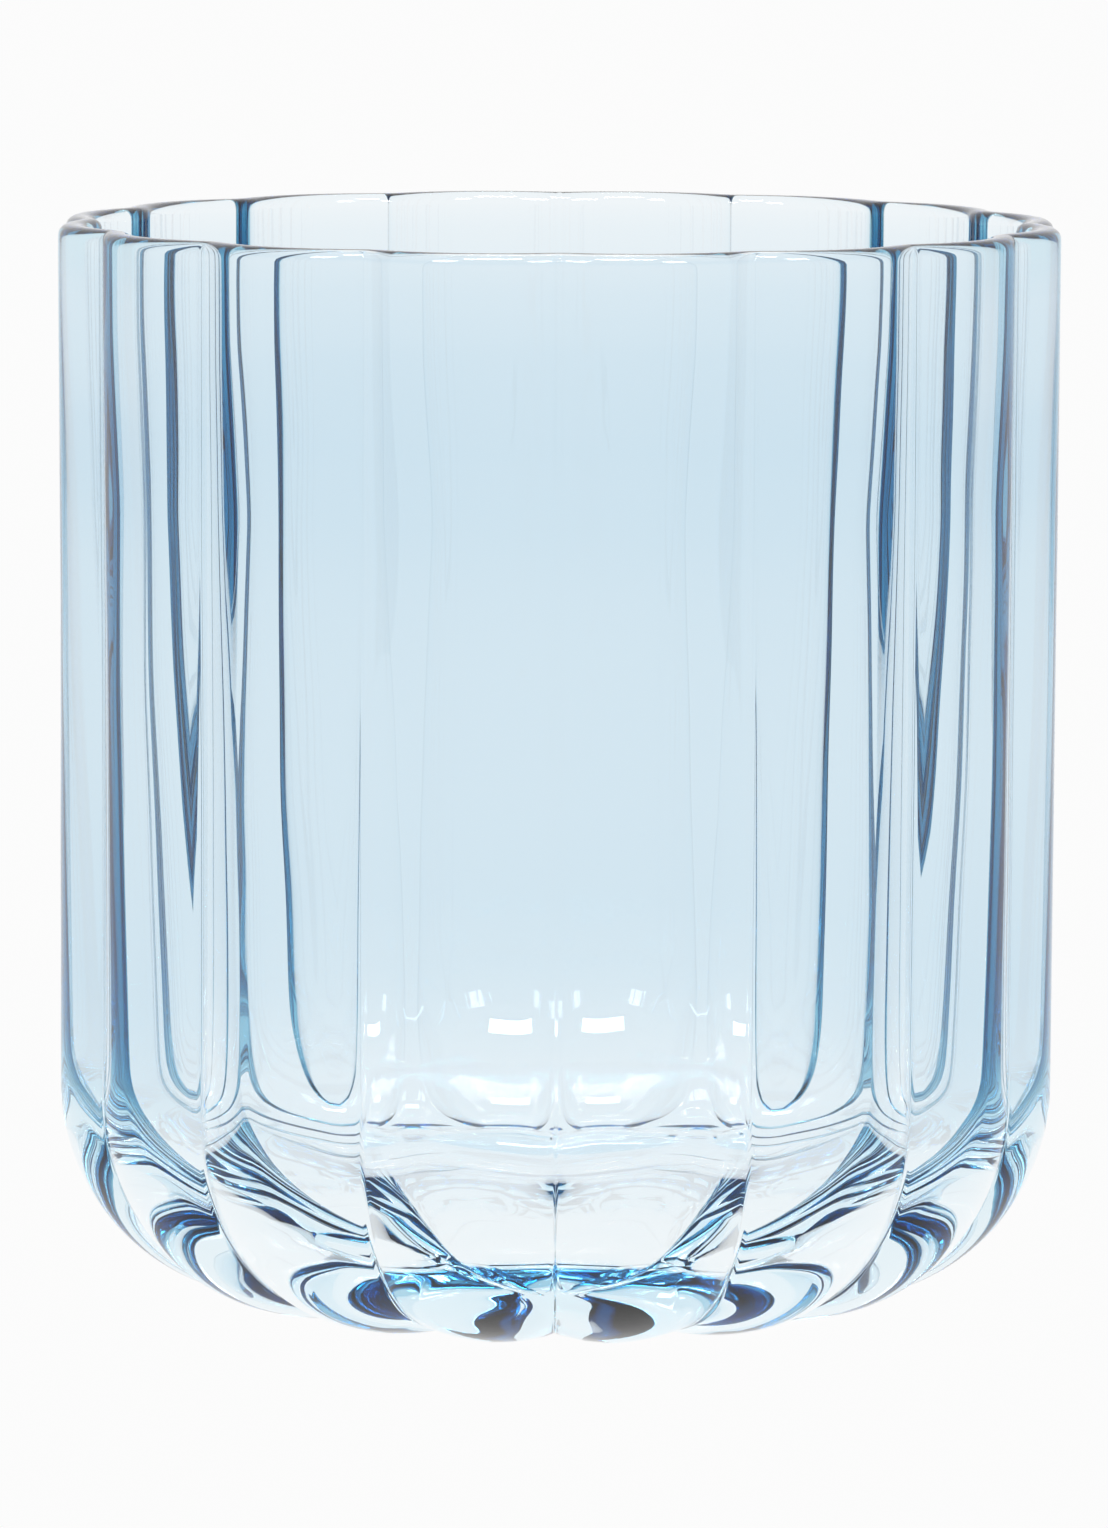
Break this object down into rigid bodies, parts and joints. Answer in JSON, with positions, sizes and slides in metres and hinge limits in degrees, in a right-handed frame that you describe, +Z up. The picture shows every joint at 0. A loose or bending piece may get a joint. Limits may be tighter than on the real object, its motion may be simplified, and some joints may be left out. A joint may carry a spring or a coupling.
{
  "type": "bud vase",
  "caption": "Low wide-mouthed bud vase in pale blue glass: straight fluted wall, rounded lip, rounded bottom corner and thick clear base.",
  "frame": {"origin": "centre of the flat foot, on the surface the vase stands on", "axes": "+Z up along the vase's axis; a valley between two flutes faces -Y, the front"},
  "size_m": [0.079, 0.079, 0.086],
  "materials": {
    "blue_glass": "polished"
  },
  "bodies": {
    "root": {"vase_body": "blue_glass"}
  },
  "joints": []
}
